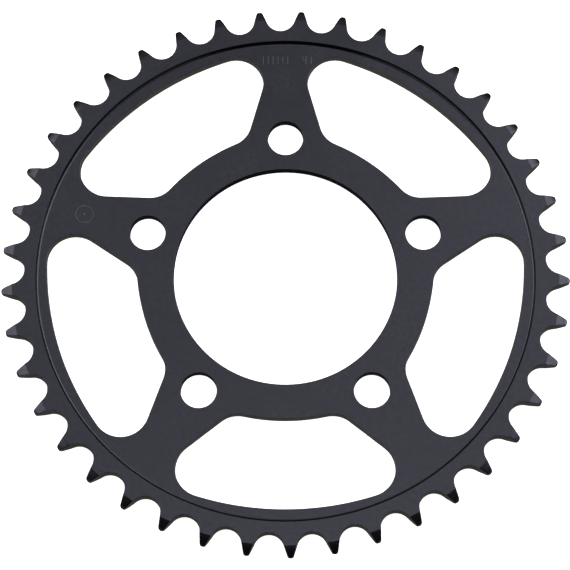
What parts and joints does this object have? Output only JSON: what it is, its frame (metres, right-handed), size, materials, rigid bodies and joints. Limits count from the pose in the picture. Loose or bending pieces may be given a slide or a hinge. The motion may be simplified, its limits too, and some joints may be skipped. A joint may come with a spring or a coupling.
{
  "type": "rear sprocket",
  "caption": "Flat black steel motorcycle rear sprocket: toothed rim, thinner recessed centre, large round bore, bolt holes on arms between curved windows.",
  "frame": {"origin": "centre of the bore in the plane of the back face, which bolts against the hub carrier", "axes": "+Z along the wheel axis, from the back face towards the recessed front face; +Y from the axis through the first bolt hole"},
  "size_m": [0.2147, 0.2147, 0.0058],
  "materials": {
    "black_coated_steel": "satin black coating on machined steel, with faint mottling"
  },
  "bodies": {
    "root": {"sprocket_plate": "black_coated_steel"}
  },
  "joints": []
}
